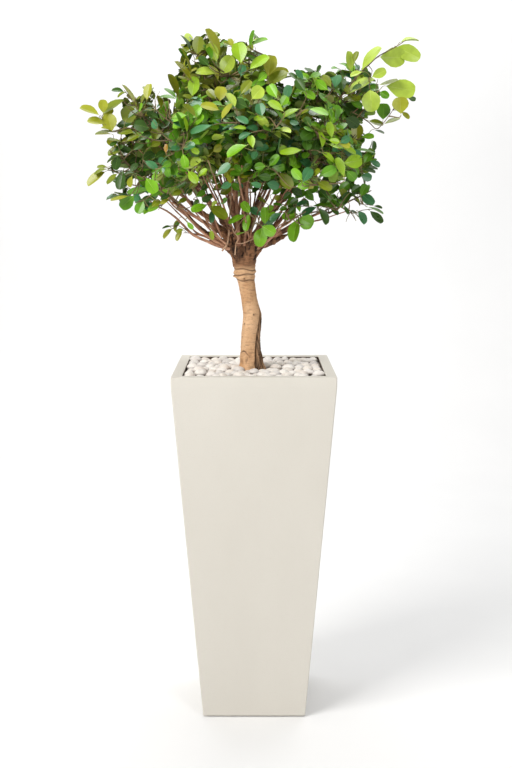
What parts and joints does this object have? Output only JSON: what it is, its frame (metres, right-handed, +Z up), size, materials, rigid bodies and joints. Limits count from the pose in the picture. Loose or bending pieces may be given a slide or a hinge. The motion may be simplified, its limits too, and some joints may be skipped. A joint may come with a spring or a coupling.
{
  "type": "potted ficus",
  "caption": "Small-leaved standard ficus with a bare leaning trunk and a broad fanned crown, in a tall tapered square planter topped with white pebbles.",
  "frame": {"origin": "centre of the planter's flat underside, on the floor", "axes": "+Z up along the planter and trunk, -Y the planter's front, +X to the viewer's right when facing the front; the crown spreads mostly along X"},
  "size_m": [0.8434, 0.6455, 1.7263],
  "materials": {
    "planter_shell": "matte",
    "potting_soil": "matte",
    "pebbles": "satin",
    "bark": "matte",
    "stem_bark": "matte",
    "foliage": "satin"
  },
  "bodies": {
    "root": {"planter": "planter_shell", "soil": "potting_soil", "pebble_bed": "pebbles", "trunk": "bark", "bough_dome_left": "stem_bark", "bough_dome_mid": "stem_bark", "bough_dome_back": "stem_bark", "bough_upper_right": "stem_bark", "bough_right_shoulder": "stem_bark", "bough_sprig_right": "stem_bark", "bough_upper_left": "stem_bark", "bough_tip_left": "stem_bark", "bough_front_left": "stem_bark", "bough_front_mid": "stem_bark", "bough_front_right": "stem_bark", "bough_side_right": "stem_bark", "bough_side_left": "stem_bark", "bough_back_left": "stem_bark", "bough_back_mid": "stem_bark", "bough_back_right": "stem_bark", "bough_inner_left": "stem_bark", "bough_inner_right": "stem_bark", "bough_low_left": "stem_bark", "bough_low_right": "stem_bark", "bough_low_front": "stem_bark", "bough_low_back": "stem_bark", "bough_sprig_front": "stem_bark", "bough_hanging_sprig": "stem_bark", "foliage_dome_left": "foliage", "foliage_dome_mid": "foliage", "foliage_dome_back": "foliage", "foliage_upper_right": "foliage", "foliage_right_shoulder": "foliage", "foliage_sprig_right": "foliage", "foliage_upper_left": "foliage", "foliage_tip_left": "foliage", "foliage_front_left": "foliage", "foliage_front_mid": "foliage", "foliage_front_right": "foliage", "foliage_side_right": "foliage", "foliage_side_left": "foliage", "foliage_back_left": "foliage", "foliage_back_mid": "foliage", "foliage_back_right": "foliage", "foliage_inner_left": "foliage", "foliage_inner_right": "foliage", "foliage_low_left": "foliage", "foliage_low_right": "foliage", "foliage_low_front": "foliage", "foliage_low_back": "foliage", "foliage_sprig_front": "foliage", "foliage_hanging_sprig": "foliage"}
  },
  "joints": []
}
